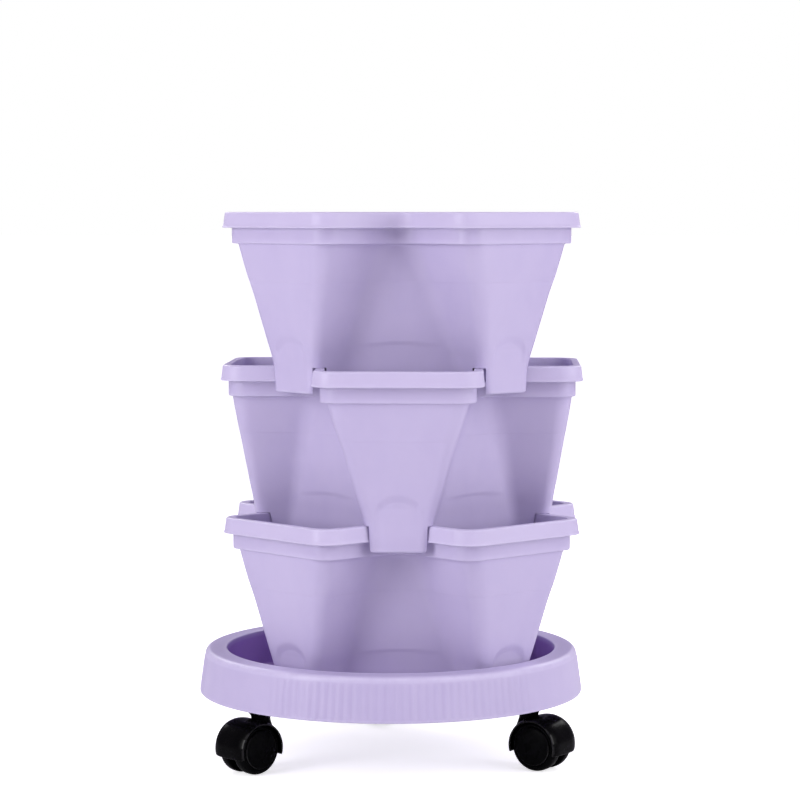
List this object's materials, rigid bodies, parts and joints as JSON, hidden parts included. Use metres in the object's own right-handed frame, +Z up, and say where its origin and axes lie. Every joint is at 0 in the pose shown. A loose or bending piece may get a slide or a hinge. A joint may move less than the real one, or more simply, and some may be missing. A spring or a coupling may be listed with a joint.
{
  "type": "vertical planter tower",
  "caption": "Tower of stacked four-lobed planting pots, each turned an eighth of a turn on the one below, in a round saucer on swivelling twin-wheel casters.",
  "frame": {"origin": "on the floor, under the centre of the saucer", "axes": "+Z up the tower; +X and +Y along the middle pot's lobes, with -Y towards the viewer of the picture"},
  "size_m": [0.383, 0.3905, 0.5451],
  "materials": {
    "tower_plastic": "satin moulded polypropylene, lavender, faint moulding grain",
    "caster_plastic": "polished black nylon",
    "wheel_plastic": "black nylon, glossy disc and duller tread",
    "socket_plastic": "black nylon, fine moulded surface",
    "steel": "zinc-plated turned steel"
  },
  "bodies": {
    "saucer": {"saucer": "tower_plastic", "left_caster_socket": "socket_plastic", "right_caster_socket": "socket_plastic", "rear_caster_socket": "socket_plastic"},
    "pot_bottom": {"pot_bottom": "tower_plastic"},
    "pot_middle": {"pot_middle": "tower_plastic"},
    "pot_top": {"pot_top": "tower_plastic"},
    "left_swivel": {"left_caster_stem": "steel", "left_caster_hood": "caster_plastic", "left_caster_axle": "steel"},
    "left_wheel_a": {"left_caster_wheel_a": "wheel_plastic"},
    "left_wheel_b": {"left_caster_wheel_b": "wheel_plastic"},
    "right_swivel": {"right_caster_stem": "steel", "right_caster_hood": "caster_plastic", "right_caster_axle": "steel"},
    "right_wheel_a": {"right_caster_wheel_a": "wheel_plastic"},
    "right_wheel_b": {"right_caster_wheel_b": "wheel_plastic"},
    "rear_swivel": {"rear_caster_stem": "steel", "rear_caster_hood": "caster_plastic", "rear_caster_axle": "steel"},
    "rear_wheel_a": {"rear_caster_wheel_a": "wheel_plastic"},
    "rear_wheel_b": {"rear_caster_wheel_b": "wheel_plastic"}
  },
  "joints": [
    {"name": "pot_bottom_lift", "type": "slide", "parent": "saucer", "child": "pot_bottom", "axis": [0, 0, 1], "range_m": [0, 0.16]},
    {"name": "pot_middle_lift", "type": "slide", "parent": "pot_bottom", "child": "pot_middle", "axis": [0, 0, 1], "range_m": [0, 0.16]},
    {"name": "pot_top_lift", "type": "slide", "parent": "pot_middle", "child": "pot_top", "axis": [0, 0, 1], "range_m": [0, 0.16]},
    {"name": "left_caster_swivel", "type": "hinge", "parent": "saucer", "child": "left_swivel", "pos_m": [-0.12359, -0.08848, 0.0585], "axis": [0, 0, 1], "continuous": true},
    {"name": "left_wheel_a_roll", "type": "hinge", "parent": "left_swivel", "child": "left_wheel_a", "pos_m": [-0.13409, -0.0992, 0.025], "axis": [0.7145, -0.6997, 0], "continuous": true},
    {"name": "left_wheel_b_roll", "type": "hinge", "parent": "left_swivel", "child": "left_wheel_b", "pos_m": [-0.13409, -0.0992, 0.025], "axis": [0.7145, -0.6997, 0], "continuous": true},
    {"name": "right_caster_swivel", "type": "hinge", "parent": "saucer", "child": "right_swivel", "pos_m": [0.13842, -0.06279, 0.0585], "axis": [0, 0, 1], "continuous": true},
    {"name": "right_wheel_a_roll", "type": "hinge", "parent": "right_swivel", "child": "right_wheel_a", "pos_m": [0.15109, -0.07083, 0.025], "axis": [0.5358, 0.8443, 0], "continuous": true},
    {"name": "right_wheel_b_roll", "type": "hinge", "parent": "right_swivel", "child": "right_wheel_b", "pos_m": [0.15109, -0.07083, 0.025], "axis": [0.5358, 0.8443, 0], "continuous": true},
    {"name": "rear_caster_swivel", "type": "hinge", "parent": "saucer", "child": "rear_swivel", "pos_m": [-0.01483, 0.15127, 0.0585], "axis": [0, 0, 1], "continuous": true},
    {"name": "rear_wheel_a_roll", "type": "hinge", "parent": "rear_swivel", "child": "rear_wheel_a", "pos_m": [-0.02045, 0.16518, 0.025], "axis": [-0.9272, -0.3746, 0], "continuous": true},
    {"name": "rear_wheel_b_roll", "type": "hinge", "parent": "rear_swivel", "child": "rear_wheel_b", "pos_m": [-0.02045, 0.16518, 0.025], "axis": [-0.9272, -0.3746, 0], "continuous": true}
  ]
}
